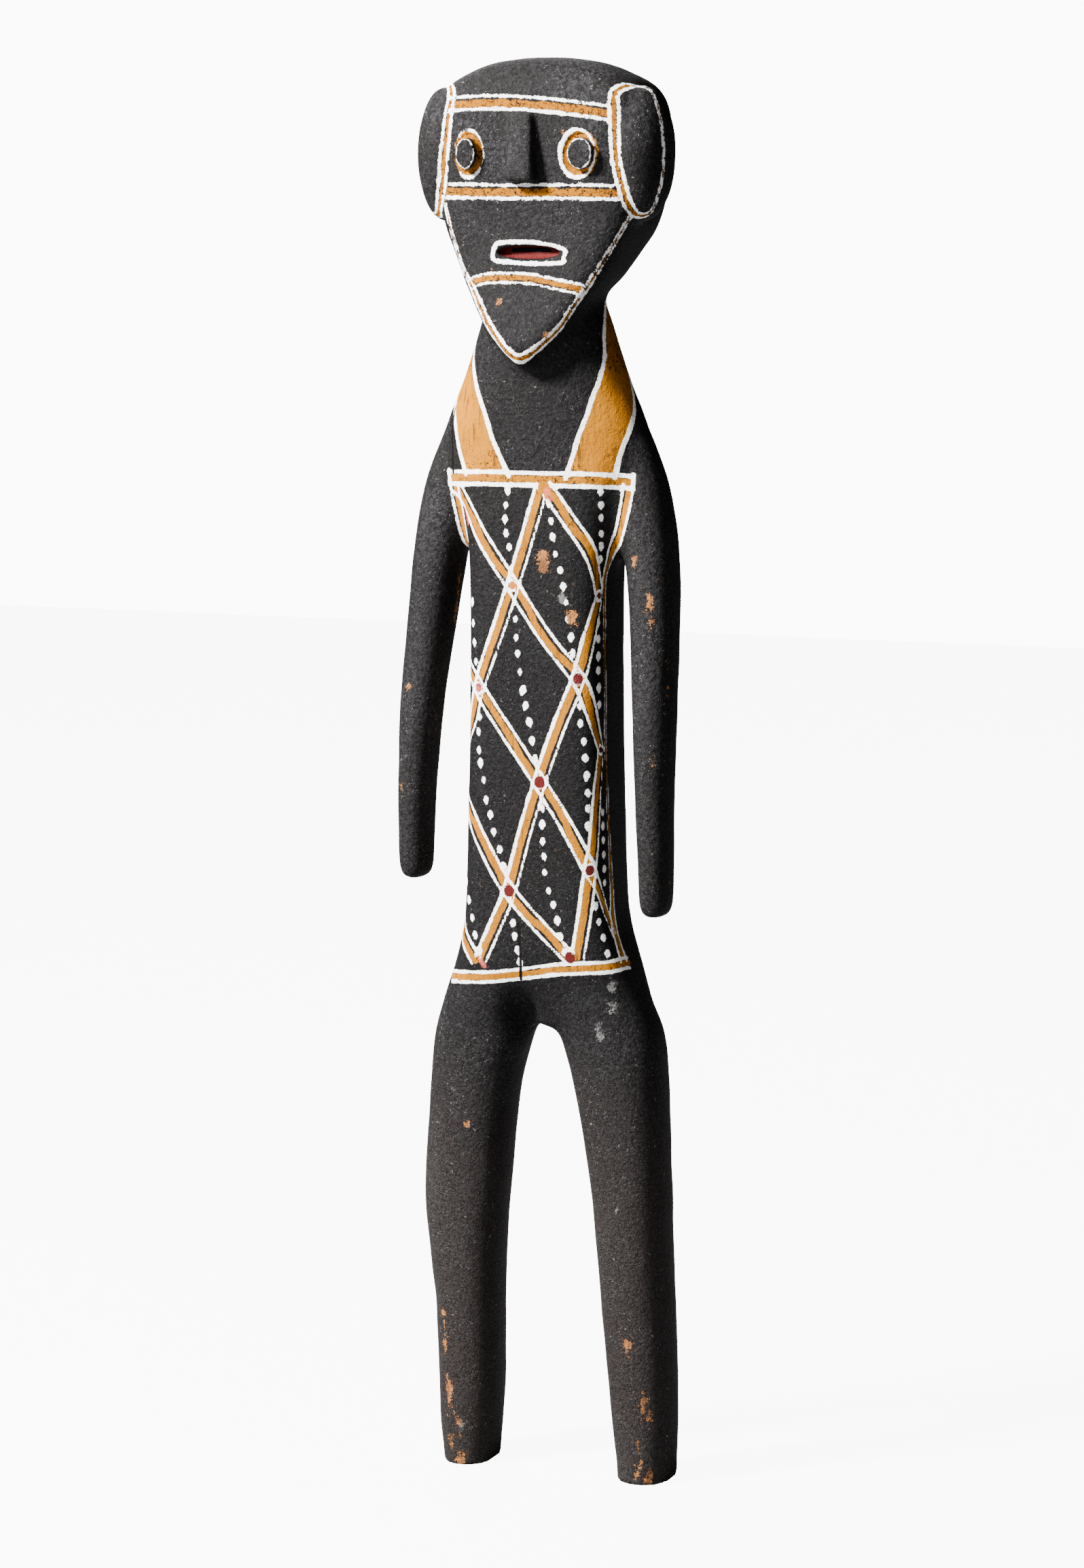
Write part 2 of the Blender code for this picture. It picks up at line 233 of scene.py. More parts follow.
def carveFigure(look):
    item = solidSkin(look)
    smoothOut(item, look["easing"])
    weigh(item, "broad", broadForms(pointsOf(item), look))
    smoothOut(item, look["melting"], "broad")
    weigh(item, "corner", 1 - boxReach(pointsOf(item), look["roundBox"]) / look["fade"])
    smoothOut(item, look["rounding"], "corner")
    cutHollow(item, look)
    handCarved(item, look)
    item.vertex_groups.clear()
    weigh(item, "plain", plainPlaces(pointsOf(item), look).astype(float))
    thin = item.modifiers.new("thin", "DECIMATE")
    thin.ratio = look["keptShare"]
    thin.vertex_group = "plain"
    bakeModifiers(item)
    item.vertex_groups.clear()
    splitFaces(item, look)
    for polygon in item.data.polygons:
        polygon.use_smooth = True
    return item


figure = carveFigure(carving)
print("carved:", len(figure.data.polygons), "faces")


# the surface that the brush follows, and the strokes kept on it

figureTree = BVHTree.FromPolygons(
    [tuple(point) for point in pointsOf(figure)],
    [tuple(polygon.vertices) for polygon in figure.data.polygons],
)


def onSurface(place):
    # (x, z) is a place seen from the front, and (x, y, z) is the nearest one on the wood
    if len(place) == 2:
        start = Vector((place[0], -200, place[1])) * mm
        found, normal, _, _ = figureTree.ray_cast(start, Vector((0, 1, 0)))
        if found is not None:
            return found, normal
        place = (place[0], -30, place[1])
    found, normal, _, _ = figureTree.find_nearest(toMetres(place))
    return found, normal


def brushPath(keys, step=0.8, closed=False):
    # a smooth line over the wood through the key places
    marks = [onSurface(key)[0] for key in keys]
    if closed:
        marks = [marks[-1], *marks, marks[0], marks[1]]
    else:
        marks = [marks[0] * 2 - marks[1], *marks, marks[-1] * 2 - marks[-2]]
    path = []
    for before, start, end, after in zip(marks, marks[1:], marks[2:], marks[3:]):
        count = max(2, math.ceil((end - start).length / (step * mm)))
        for index in range(count):
            t = index / count
            bend = (before * 2 - start * 5 + end * 4 - after) * t * t
            twist = (start * 3 - before - end * 3 + after) * t ** 3
            path.append((start * 2 + (end - before) * t + bend + twist) * 0.5)
    path.append(marks[-2])
    return [figureTree.find_nearest(point)[0] for point in path]


def besidePath(path, offsets, closed=False):
    # the path moved sideways over the wood, to its left seen along it
    moved = []
    last = len(path) - 1
    for index, point in enumerate(path):
        ahead = path[(index + 1) % len(path) if closed else min(index + 1, last)]
        behind = path[index - 1 if closed else max(index - 1, 0)]
        along = (ahead - behind).normalized()
        offset = offsets[index] * mm
        steps = max(1, math.ceil(abs(offset) / (2 * mm)))
        place = point.copy()
        for _ in range(steps):
            found, normal, _, _ = figureTree.find_nearest(place)
            place = found + normal.cross(along).normalized() * (offset / steps)
        moved.append(figureTree.find_nearest(place)[0])
    return moved


strokes = {name: [] for name in ("ochre", "white", "patch", "spot", "red", "pink", "chalk", "bare", "crack")}
brushing = {        # how much a width or a place changes along a stroke, and how fast
    "slowBreath": (0.18, 0.13),
    "fastBreath": (0.10, 0.45),
    "sway": (7, 0.03),
    "tuck": 0.2,        # ochre under the white lines beside it
    "farthest": 6.0,    # no distance from a stroke is kept beyond this
}


def stroke(layer, path, width, seed=0.0, closed=False):
    # keeps a brush stroke, whose width breathes a little
    slow, slowStep = brushing["slowBreath"]
    fast, fastStep = brushing["fastBreath"]
    halves = []
    for index in range(len(path)):
        breath = 1 + slow * noise.noise(Vector((index * slowStep, seed * 7.3, 0.5)))
        breath += fast * noise.noise(Vector((index * fastStep, seed * 3.9, 4.5)))
        wide = width[index] if isinstance(width, list) else width
        halves.append(wide / 2 * breath)
    strokes[layer].append((path, halves, closed))


def keyValues(path, keys, values, closed=False):
    # a value at every point of the path, from its values at the keys
    places = []
    for key in keys:
        mark = onSurface(key)[0]
        places.append(min(range(len(path)), key=lambda index: (path[index] - mark).length))
    if closed:
        places = [*places, len(path)]
        values = [*values, values[0]]
    return np.interp(range(len(path)), places, values).tolist()


def linedBand(path, look, closed=False, seed=0.0, shares=None):
    # ochre between two white lines: white is the left and right width, gap the black left bare beside the
    # ochre, and lean the line that the ochre keeps to, 1 for the left one; without it the ochre wanders
    shares = shares or [1.0] * len(path)
    left, right = look["white"]
    ochre, gap = look["ochre"], look["gap"]
    total = left + right + ochre + gap
    thin = look.get("thin", 0)
    sway, swayStep = brushing["sway"]
    middles = []
    for index, share in enumerate(shares):
        wander = noise.noise(Vector((index * swayStep, seed * 5.1, 2))) * sway
        lean = look.get("lean", max(-1, min(1, wander)))
        middles.append((right - left + lean * gap) / 2 * share)
    widths = [max((ochre + brushing["tuck"]) * share, thin) for share in shares]
    stroke("ochre", besidePath(path, middles, closed), widths, seed, closed=closed)
    for offset, width in (((total - left) / 2, left), ((right - total) / 2, right)):
        line = besidePath(path, [offset * share for share in shares], closed)
        stroke("white", line, [max(width * share, thin) for share in shares], seed + offset, closed=closed)


# the face: bands, ear rims, eyes and mouth

facePaint = {
    "band": {"white": (1.5, 1.7), "ochre": 3.8, "gap": 1.1, "lean": -1},
    "forehead": [(-44, 694), (-24, 695), (-6, 694.5), (18, 692.5), (41, 689.5)],
    "underNose": [(-46, 652), (-20, 651.5), (0, 651.5), (22, 651.5), (46, 651)],
    "chinBand": {"white": (1.5, 1.3), "ochre": 2.8, "gap": 0.5, "lean": 1},
    "chin": [(-30.5, 606.5), (-22, 609), (-10, 609.5), (3, 609), (17, 606.5), (30, 603.5)],
    "jawBand": {"white": (1.9, 2.0), "ochre": 2.0, "gap": 0.3, "thin": 0.7},
    "jaw": [(50, -30, 639), (45, -33.5, 629), (40.5, -36, 620.5), (32.5, -41, 606), (26, -45, 595.5),
            (19.5, -48, 584.5), (12, -51.5, 576.5), (4.5, -53, 571.5), (-1, -53.5, 570), (-8.5, -53, 576),
            (-17.5, -50, 586.5), (-25.5, -45, 599), (-36.5, -38, 615.5), (-44, -35.5, 634), (-48, -34, 650)],
    "jawShares": (0.45, 0.45, 0.5, 0.55, 0.6, 0.7, 0.85, 1.0, 1.1, 1.0, 0.9, 0.75, 0.5, 0.45, 0.45),
    "earBand": {"white": (1.8, 1.8), "ochre": 1.9, "gap": 0.4, "thin": 0.9},
    "nearEar": [(43.5, -34, 700), (43.5, -36.5, 690), (44, -37, 678), (45, -37, 665), (47, -36, 656),
                (49.5, -33.5, 646), (53, -29, 639), (58, -25, 640.5), (62, -25, 650), (64.5, -25, 662),
                (64, -25, 675), (61, -24, 690), (56, -22, 700), (50, -24, 704.5)],
    "farEar": [(-44, -34, 700), (-44.5, -36, 690), (-45.5, -36, 678), (-47, -35, 665), (-48, -34.5, 655),
               (-51, -31, 645), (-55, -27, 639), (-60, -22, 642), (-64, -18, 655), (-65, -16, 670),
               (-63, -14, 688), (-57, -16, 701), (-50, -24, 705)],
    "nearShares": (1.0, 1.1, 1.0, 1.0, 1.0, 0.95, 0.85, 0.45, 0.28, 0.25, 0.25, 0.3, 0.4, 0.6),
    "farShares": (1.0, 1.0, 1.0, 1.0, 1.0, 0.9, 0.8, 0.45, 0.3, 0.25, 0.25, 0.3, 0.5),
    "facePlane": -38.8,
    "eyes": (       # middle, half width and half height of the white ring, then the same of the peg
        ((25, 670), (10, 12.7), (27.8, 670), (6.5, 7.7)),
        ((-32.8, 670), (8.5, 12.7), (-32.6, 670), (5.1, 7.7)),
    ),
    "ringWidths": (1.6, 1.8, 2.2, 2.7, 2.4, 2.2, 2.3, 1.9),      # from the figure's left round by the top
    "eyeOchre": 3.9,
    "eyeOchreInset": 0.6,
    "pegTip": -43.1,
    "pegLine": 0.7,
    "pegLineInset": 0.2,
    "mouth": [(-18, 618.5), (-18, 624), (-15.5, 626.5), (-3, 627), (8, 626), (19, 623.5), (19, 619),
              (18.5, 617), (4, 616.5), (-8, 617)],
    "mouthLine": 2.2,
    "lip": [(-15, -36.2, 621.8), (0, -36, 621.8), (15.8, -36.2, 621.8)],
    "lipHalf": 3.5,
    # a black stroke along the mouth's slit: painted shade for the depth of the slit
    "slit": [(-9.5, -35.5, 623.2), (9.5, -35.5, 623.2)],
    "slitHalf": 1.2,
}


def ovalPath(middle, halves, depth, count=48):
    # a raw oval in a plane across the face
    path = []
    for index in range(count):
        turn = 2 * math.pi * index / count
        x = middle[0] + halves[0] * math.cos(turn)
        path.append(toMetres((x, depth, middle[1] + halves[1] * math.sin(turn))))
    return path


def paintEye(middle, halves, pegMiddle, pegHalves, look, seed):
    depth = look["facePlane"]
    ring = ovalPath(middle, halves, depth)
    keys = look["ringWidths"]
    turns = np.linspace(0, len(keys), len(ring), endpoint=False)
    widths = np.interp(turns, range(len(keys) + 1), [*keys, keys[0]])
    centre = toMetres((middle[0], depth, middle[1]))
    inward = [point + (centre - point).normalized() * (width / 2 * mm) for point, width in zip(ring, widths)]
    stroke("white", inward, widths.tolist(), seed, closed=True)
    inset = look["eyeOchreInset"]
    between = [(half + pegHalf) / 2 - inset for half, pegHalf in zip(halves, pegHalves)]
    shifted = [(place + pegPlace) / 2 for place, pegPlace in zip(middle, pegMiddle)]
    stroke("ochre", ovalPath(shifted, between, depth + inset), look["eyeOchre"], seed + 2, closed=True)
    line = ovalPath(pegMiddle, [half - look["pegLineInset"] for half in pegHalves], look["pegTip"])
    line = [figureTree.find_nearest(point)[0] for point in line]
    stroke("white", line, look["pegLine"], seed + 4, closed=True)


def paintFace(look):
    linedBand(brushPath(look["forehead"]), look["band"], seed=1)
    linedBand(brushPath(look["underNose"]), look["band"], seed=2)
    linedBand(brushPath(look["chin"]), look["chinBand"], seed=3)
    path = brushPath(look["jaw"])
    linedBand(path, look["jawBand"], seed=4, shares=keyValues(path, look["jaw"], look["jawShares"]))
    for number, name in enumerate(("near", "far")):
        path = brushPath(look[name + "Ear"], closed=True)
        shares = keyValues(path, look[name + "Ear"], look[name + "Shares"], closed=True)
        linedBand(path, look["earBand"], closed=True, seed=5 + number, shares=shares)
    for number, eye in enumerate(look["eyes"]):
        paintEye(*eye, look, 8 + number)
    stroke("white", brushPath(look["mouth"], closed=True), look["mouthLine"], 12, closed=True)
    # the lip is red paint, and the black stroke in the slit is painted shade
    for layer, name in (("red", "lip"), ("crack", "slit")):
        path = [toMetres(place) for place in look[name]]
        strokes[layer].append((path, [look[name + "Half"]] * len(path), False))


# the body: straps, belts, borders, lattice and dots

crossings = {
    "heart": (-8.5, 457.5),
    "leftPoint": (-27.5, 405.5),
    "middle": (26, 412),
    "rightUpper": (35, -32, 453),
    "rightLower": (35.5, -31, 376),
    "waist": (6, 359.5),
    "lowLeft": (-10.5, 303.5),
    "lowRight": (32, -37.5, 316),
    "footLeft": (-27, 267.5),
    "footRight": (22, 271.5),
}

bodyPaint = {
    "strapLines": 2.5,
    "strapFoot": 511.5,     # the straps end at the belt
    "strapBrushes": (-0.76, -0.38, 0, 0.38, 0.76),      # side by side, each of strapBrush's width
    "strapBrush": 0.42,
    "leftStrap": [(-21.5, 507, 13), (-29.5, 525, 12.5), (-33.5, 538, 12), (-37.5, -31, 552, 11.5),
                  (-40, -25, 565, 11), (-39.5, -16, 577, 11), (-35, -6, 587, 10.5), (-27, 4, 592, 10)],
    "rightStrap": [(30.5, 507, 13.5), (35.5, -36, 526, 12.5), (39, -30, 541, 12.5), (41, -25, 554, 13),
                   (40.5, -19, 567, 12), (37, -14, 579, 11), (33, -6, 588, 10.5), (26, 4, 592, 10)],
    "beltBand": {"white": (2.2, 2.2), "ochre": 3.7, "gap": 0.2},
    "topBelt": [(-45.5, -30, 509.5), (-36, 510), (-20, 510.5), (8, 510.5), (30, -38, 510.5),
                (49.5, -29, 509.5)],
    "beltEnds": (((51, -28, 513), (51, -28, 505.5)), ((-47, -28, 513), (-46.5, -28, 506))),
    "lowBeltBand": {"white": (1.9, 1.9), "ochre": 3.0, "gap": 0.3},
    "lowBelt": [(-49, -31, 256.5), (-38, -36.5, 257), (-22, 258.5), (-6, 261), (12, 264.5),
                (26, -39.5, 266), (38, -36, 267), (47.5, -22, 268)],
    "fallingBand": {"white": (1.6, 1.6), "ochre": 3.4, "gap": 1.5},
    "risingBand": {"white": (1.3, 1.9), "ochre": 3.4, "gap": 1.4, "lean": -1},
    "cornerPlaces": (31, 36),       # the bands narrow where they turn the corner of the torso
    "cornerShares": (1, 0.55),
    "sideBand": {"white": (1.5, 1.5), "ochre": 2.8, "gap": 0.8, "lean": 1, "thin": 0.6},
    "sideShares": (1, 0.95, 0.45, 0.45, 0.45, 0.45, 0.5, 0.8, 1),       # from the top belt down
    "falling": {        # the bands that run down to the figure's left
        "first": [(-43, -31, 505), (-36.5, -36, 496), (-26, 481.5), "heart", (8.5, 433.5), "middle",
                  (32, -36.5, 396.5), "rightLower"],
        "second": [(8.5, 507.5), (20.5, 491.5), (31, -37, 476), (34, -34, 464), "rightUpper"],
        "third": [(-36.5, -30, 418), "leftPoint", (-10, 381.5), "waist", (21, 337), "lowRight",
                  (37, -34, 304), (40, -30, 292), (42.5, -27, 282)],
        "fourth": [(-36.5, -30, 349), (-33, -36.5, 341), (-23.5, 324), "lowLeft", (6.5, 286), "footRight"],
        "fifth": [(-43, -29, 292), (-38.5, -34, 280.5), (-29.5, 266.5)],
    },
    "rising": {         # and the bands that run down to its right
        "first": [(7, 507.5), (-1, 481), "heart", (-18, 431), "leftPoint", (-32.5, -36.5, 388.5),
                  (-36.5, -30, 376)],
        "second": ["rightUpper", (31, -37.5, 430.5), "middle", (15.5, 386), "waist", (-3, 330.5), "lowLeft",
                   (-18.5, 285), "footLeft"],
        "third": ["rightLower", (35, -34, 356), (34, -36.5, 330), "lowRight", (29.5, 294), (26, 272)],
    },
    "leftSide": [(-44, -30, 506), (-41, -24, 497), (-38.5, -20, 485), (-37, -20, 468), (-36.5, -22, 440),
                 (-36.5, -22, 400), (-36.5, -22, 350), (-38.5, -20, 310), (-42.5, -20, 286),
                 (-48, -22, 262)],
    "rightSide": [(48.5, -27, 508), (47.5, -27.5, 499), (44, -27, 485), (38.5, -26, 471), (36.5, -28, 460),
                  (36, -27, 440), (36, -26.5, 414), (36, -26.5, 390), (36.5, -26, 355), (37.5, -24.5, 327),
                  (39.5, -23.5, 305), (42.5, -25.5, 286), (46, -26, 269)],
    "nodeWhite": 3.8,
    "nodeRise": 1.6,
    "spotRise": 0.4,
    "nodeSpots": {
        "heart": ("spot", 1.7), "leftPoint": ("red", 1.9), "middle": ("red", 2.5), "waist": ("red", 2.8),
        "lowLeft": ("red", 2.8), "lowRight": ("red", 2.4), "rightUpper": ("red", 2.0),
        "rightLower": ("red", 2.0), "footRight": ("red", 2.6),
    },
    "apexPatch": ([(8, 506.5), (9.5, 501.5)], [3.2, 1]),
    "smears": (((9.5, 505.5), (11, 501), 2.6), ((-38.5, -33, 494), (-36.4, -34.5, 487), 2.2),
               ((-28, 269), (-25, 264.6), 2.6), ((-27.5, 407), (-27.5, 404), 2.0)),
    "dotShape": ((-1.0, 1.2), (-0.5, 1.55), (0.1, 1.65), (0.8, 1.4), (1.5, 0.9), (2.2, 0.4)),
    "dotStray": 1.1,
    "dotGrowth": 0.3,
    "dots": {           # first and last dot of each column, and any bend between, with the number of dots
        "upperLeft": (5, [(-11.5, 504.5), (-12.5, 490), (-10.5, 476.5)]),
        "upperHeart": (10, [(10.5, 499), (14, 476), (18.5, 457), (21.5, 440), (23.5, 425)]),
        "upperRight": (6, [(36, -35, 505), (36.5, -33, 488), (35.5, -32, 471)]),
        "leftEdge": (4, [(-32.5, -36.5, 447.5), (-29.5, -38.5, 418.5)]),
        "heartLow": (9, [(-7, 441), (-4.5, 413.5), (-1, 396), (3.5, 371.5)]),
        "middleLow": (8, [(27, 398.5), (29, 373), (30.5, 352), (31, 338.5)]),
        "pointLow": (10, [(-27, 391), (-27.5, 376), (-23.5, 351), (-13.5, 316.5)]),
        "waistLow": (10, [(7, 346), (8, 321.5), (13.5, 296.5), (19.5, 274.5)]),
        "lowEdge": (5, [(-36.5, -34, 306), (-31, 286), (-27, 271)]),
        "crotch": (4, [(-8.5, 287), (-5, 267)]),
        "hip": (4, [(35, -36.5, 298), (40.5, -35, 274)]),
        "rightFlank": (6, [(35, -32.5, 440), (35, -32, 399)]),
        "lowFlank": (6, [(36.5, -30.5, 345), (37.5, -30.5, 309)]),
        "backFlank": (8, [(-35.5, -31, 372), (-36, -31, 330)]),
    },
}


def bodyPath(keys):
    return brushPath([crossings[key] if isinstance(key, str) else key for key in keys])


def strap(keys, look, seed):
    # a broad ochre strap with white edges, whose keys end in its half width
    path = brushPath([key[:-1] for key in keys])
    shares = np.linspace(0, 1, len(keys))
    halves = np.interp(np.linspace(0, 1, len(path)), shares, [key[-1] for key in keys]).tolist()
    narrow = look["strapLines"]
    lines = [("ochre", [half * part for half in halves]) for part in look["strapBrushes"]]
    lines += [("white", [(half - narrow / 2) * side for half in halves]) for side in (-1, 1)]
    for layer, offsets in lines:
        moved = besidePath(path, offsets)
        kept = [index for index, point in enumerate(moved) if point.z > look["strapFoot"] * mm]
        widths = [halves[index] * look["strapBrush"] if layer == "ochre" else narrow for index in kept]
        stroke(layer, [moved[index] for index in kept], widths, seed + offsets[0])


def cornerShare(place, look):
    return float(np.interp(place.x / mm, look["cornerPlaces"], look["cornerShares"]))


def dotColumn(count, keys, look, seed):
    # dots that a full brush sets down and drags a little
    path = brushPath(keys, step=0.4)
    for index in range(count):
        place = path[round(index * (len(path) - 1) / max(1, count - 1))]
        chance = [noise.noise(Vector((index * 3.1, seed * 2.3, row * 4.7))) for row in range(4)]
        place = place + Vector((chance[0], 0, chance[1])) * look["dotStray"] * mm
        grown = 1 + look["dotGrowth"] * chance[2]
        drag = Vector((chance[3] * 0.5, 0, -1)) * mm
        points = [place + drag * along * grown for along, _ in look["dotShape"]]
        strokes["white"].append((points, [half * grown for _, half in look["dotShape"]], False))


def paintBody(look):
    strap(look["leftStrap"], look, 21)
    strap(look["rightStrap"], look, 22)
    linedBand(bodyPath(look["topBelt"]), look["beltBand"], seed=23)
    linedBand(bodyPath(look["lowBelt"]), look["lowBeltBand"], seed=24)
    for group in ("falling", "rising"):
        for number, keys in enumerate(look[group].values()):
            path = bodyPath(keys)
            shares = [cornerShare(point, look) for point in path]
            linedBand(path, look[group + "Band"], seed=30 + number, shares=shares)
    for number, name in enumerate(("leftSide", "rightSide")):
        path = bodyPath(look[name])
        last = len(look["sideShares"]) - 1
        shares = np.interp(np.linspace(0, last, len(path)), range(last + 1), look["sideShares"]).tolist()
        linedBand(path, look["sideBand"], seed=40 + number, shares=shares)
    for ends in look["beltEnds"]:
        stroke("white", brushPath(ends), look["strapLines"], 26)
    for name, (layer, size) in look["nodeSpots"].items():
        place = onSurface(crossings[name])[0]
        share = cornerShare(place, look)
        dabs = (("white", look["nodeWhite"], look["nodeRise"]), (layer, size, look["spotRise"]))
        for kind, half, lift in dabs:
            ends = [place - Vector((0, 0, lift)) * mm, place + Vector((0, 0, lift)) * mm]
            strokes[kind].append((ends, [half * share] * 2, False))
    places, halves = look["apexPatch"]
    strokes["patch"].append(([onSurface(place)[0] for place in places], halves, False))
    for start, end, size in look["smears"]:
        strokes["pink"].append(([onSurface(start)[0], onSurface(end)[0]], [size / 2] * 2, False))
    for number, (count, keys) in enumerate(look["dots"].values()):
        dotColumn(count, keys, look, number + 0.5)


paintFace(facePaint)
paintBody(bodyPaint)


# wear: chips of bare wood, cracks and chalky smudges

wear = {
    "chips": (  # place, half width and half height
        ((8, 470), 3.2, 5.6), ((23, 442), 2.6, 3.8), ((-13, 597), 0.9, 1.8), ((13.5, 580.5), 0.8, 1.7),
        ((17.5, 680), 0.7, 0.8), ((51, -33, 72), 3, 4.6), ((59, -31, 43), 0.9, 6), ((62.5, -30, 37), 1, 7),
        ((57, -32, 20), 1.3, 3), ((56, -32, 6), 2.2, 2), ((61, -29, 5), 3, 3), ((67, -33, 312), 1.3, 2.6),
        ((67.5, -42, 372), 1.2, 1.6), ((71.5, -32.5, 407.5), 1.1, 2), ((70.5, -32, 420), 1.0, 1.6),
        ((63, -33, 440), 1.2, 2.2), ((61.5, -34, 450), 1.6, 4.2), ((52.5, -31.5, 470), 1.2, 2.6),
        ((-47, -19, 448), 1.4, 18), ((-65.5, -40.5, 404), 1.1, 1.8), ((-68.5, -43, 353), 1.2, 2.0),
        ((-35.5, -36, 181), 1.4, 2.6), ((-45.5, -36, 172), 1.2, 2), ((-51, -31.5, 79), 1.5, 3),
        ((-50.5, -31, 62), 0.8, 8), ((-48.5, -31, 38), 1.6, 9), ((-43, -34, 24), 1.0, 3.5),
        ((-48, -34, 12), 1.2, 4), ((-42.5, -31, 4), 3.4, 2.4),
    ),
    "smudges": (
        ((43, -34, 257), 1.8, 2.8), ((43, -34, 246), 1.4, 3), ((37.5, -37, 235), 0.8, 4),
        ((-41.5, -36, 195), 1.5, 3.4), ((44, -38, 144), 1.1, 2.2), ((-41, -35, 20), 0.9, 2),
        ((17.5, 452), 2.2, 2.2), ((-14, 460), 1.0, 1.0),
    ),
    "cracks": (([(-5, 287), (-4.5, 272), (-5, 258)], 0.7), ([(-45, -29, 545), (-44.5, -30, 512)], 0.6)),
    "lowShare": 0.8,        # how wide a chip is at its lower end
}


def wearWood(look):
    for layer, marks in (("bare", look["chips"]), ("chalk", look["smudges"])):
        for place, wide, tall in marks:
            found = onSurface(place)[0]
            rise = Vector((0, 0, max(tall - wide, 0.1) * mm))
            strokes[layer].append(([found - rise, found + rise], [wide * look["lowShare"], wide], False))
    for keys, half in look["cracks"]:
        path = brushPath(keys)
        strokes["crack"].append((path, [half] * len(path), False))


wearWood(wear)
print("strokes:", {name: len(made) for name, made in strokes.items()})


# each layer of strokes becomes a distance kept on the wood

def strokeObject(name, made):
    points, edges, halves = [], [], []
    for path, widths, closed in made:
        first = len(points)
        points.extend(path)
        halves.extend(widths)
        edges.extend((first + index, first + index + 1) for index in range(len(path) - 1))
        if closed:
            edges.append((len(points) - 1, first))
    item = meshObject(name + "Strokes", points, edges)
    item.data.attributes.new("halfWidth", "FLOAT", "POINT").data.foreach_set("value", halves)
    item.hide_render = True
    return item


def brushTree():
    tree = bpy.data.node_groups.new("brushedLayer", "GeometryNodeTree")
    sockets = {}
    kinds = {"Geometry": "Geometry", "Strokes": "Object", "Layer": "String", "Finish": "Material"}
    for name, kind in kinds.items():
        sockets[name] = tree.interface.new_socket(name, in_out="INPUT", socket_type="NodeSocket" + kind)
    tree.interface.new_socket("Geometry", in_out="OUTPUT", socket_type="NodeSocketGeometry")
    entry = addNode(tree, "NodeGroupInput")
    lines = addNode(tree, "GeometryNodeObjectInfo", {"Object": entry.outputs["Strokes"]}).outputs["Geometry"]
    reach = addNode(tree, "GeometryNodeProximity", {0: lines}, target_element="EDGES")
    nearest = addNode(tree, "GeometryNodeSampleNearest", {"Geometry": lines})
    width = addNode(tree, "GeometryNodeInputNamedAttribute", {"Name": "halfWidth"}, data_type="FLOAT")
    half = addNode(
        tree, "GeometryNodeSampleIndex",
        {"Geometry": lines, "Value": width.outputs["Attribute"], "Index": nearest.outputs["Index"]},
    )
    inMillimetres = mathNode(tree, "DIVIDE", reach.outputs["Distance"], mm)
    beyond = mathNode(tree, "SUBTRACT", inMillimetres, half.outputs["Value"])
    capped = mathNode(tree, "MINIMUM", beyond, brushing["farthest"])
    kept = addNode(
        tree, "GeometryNodeStoreNamedAttribute",
        {"Geometry": entry.outputs["Geometry"], "Name": entry.outputs["Layer"], "Value": capped},
        data_type="FLOAT", domain="POINT",
    )
    real = addNode(tree, "GeometryNodeRealizeInstances", {"Geometry": kept.outputs["Geometry"]})
    finished = addNode(
        tree, "GeometryNodeSetMaterial",
        {"Geometry": real.outputs["Geometry"], "Material": entry.outputs["Finish"]},
    )
    addNode(tree, "NodeGroupOutput", {"Geometry": finished.outputs["Geometry"]})
    return tree, {name: socket.identifier for name, socket in sockets.items()}


# the finish

finish = {
    "charcoal": (0.0028, 0.0025, 0.0024, 1),
    "charcoalWorn": (0.0110, 0.0101, 0.0100, 1),
    "rubbed": (0.0240, 0.0188, 0.0170, 1),
    "bloom": (0.027, 0.0265, 0.0285, 1),
    "speck": (0.160, 0.155, 0.150, 1),
    "fleck": (0.16, 0.080, 0.040, 1),
    "ochre": (0.285, 0.104, 0.0008, 1),
    "ochreDeep": (0.160, 0.052, 0.0006, 1),
    "burnt": (0.045, 0.018, 0.004, 1),
    "white": (0.90, 0.885, 0.87, 1),
    "whiteDull": (0.52, 0.50, 0.48, 1),
    "red": (0.060, 0.0060, 0.0055, 1),
    "orange": (0.30, 0.080, 0.010, 1),
    "pink": (0.44, 0.080, 0.065, 1),
    "wood": (0.26, 0.105, 0.032, 1),
    "woodDark": (0.085, 0.032, 0.013, 1),
    # black for the cracks in the wood, and painted shade in the mouth's slit
    "crackAndShadeBlack": (0.0015, 0.0010, 0.0008, 1),
    "lineWobble": (0.7, 1.4),       # raggedness of the lines of the body, and of the head
    "edges": {          # raggedness, softness and pits of each layer
        "ochre": (None, 0.14, 0.85), "white": (None, 0.12, 0.80), "patch": (0.8, 0.14, 0.6),
        "spot": (0.9, 0.14, 0.6), "red": (0.9, 0.14, 0.5), "pink": (3.2, 0.7, 0.8),
        "chalk": (9.0, 1.2, 0.95), "bare": (6.5, 0.25, 0.9),
    },
    "overpaints": (     # layer, its colour and how far it covers
        ("spot", "orange", 1.0), ("red", "red", 1.0), ("pink", "pink", 0.62), ("chalk", "whiteDull", 0.15),
    ),
    "roughness": (0.62, 0.86),      # of the charcoal and of the paint
    "specular": 0.06,
    "bumps": {"white": 0.10, "crackle": -0.10, "bare": -0.30, "crack": -0.30},
}


def shaderGroup(name, inputs, outputs):
    tree = bpy.data.node_groups.new(name, "ShaderNodeTree")
    for label, kind, value in inputs:
        socket = tree.interface.new_socket(label, in_out="INPUT", socket_type="NodeSocket" + kind)
        socket.default_value = value
    for label, kind in outputs:
        tree.interface.new_socket(label, in_out="OUTPUT", socket_type="NodeSocket" + kind)
    entry = addNode(tree, "NodeGroupInput")
    leaving = addNode(tree, "NodeGroupOutput")
    return tree, entry, leaving


def useGroup(tree, group, inputs):
    node = addNode(tree, "ShaderNodeGroup", node_tree=group)
    for socket, value in inputs.items():
        if isinstance(value, bpy.types.NodeSocket):
            tree.links.new(value, node.inputs[socket])
        else:
            node.inputs[socket].default_value = value
    return node


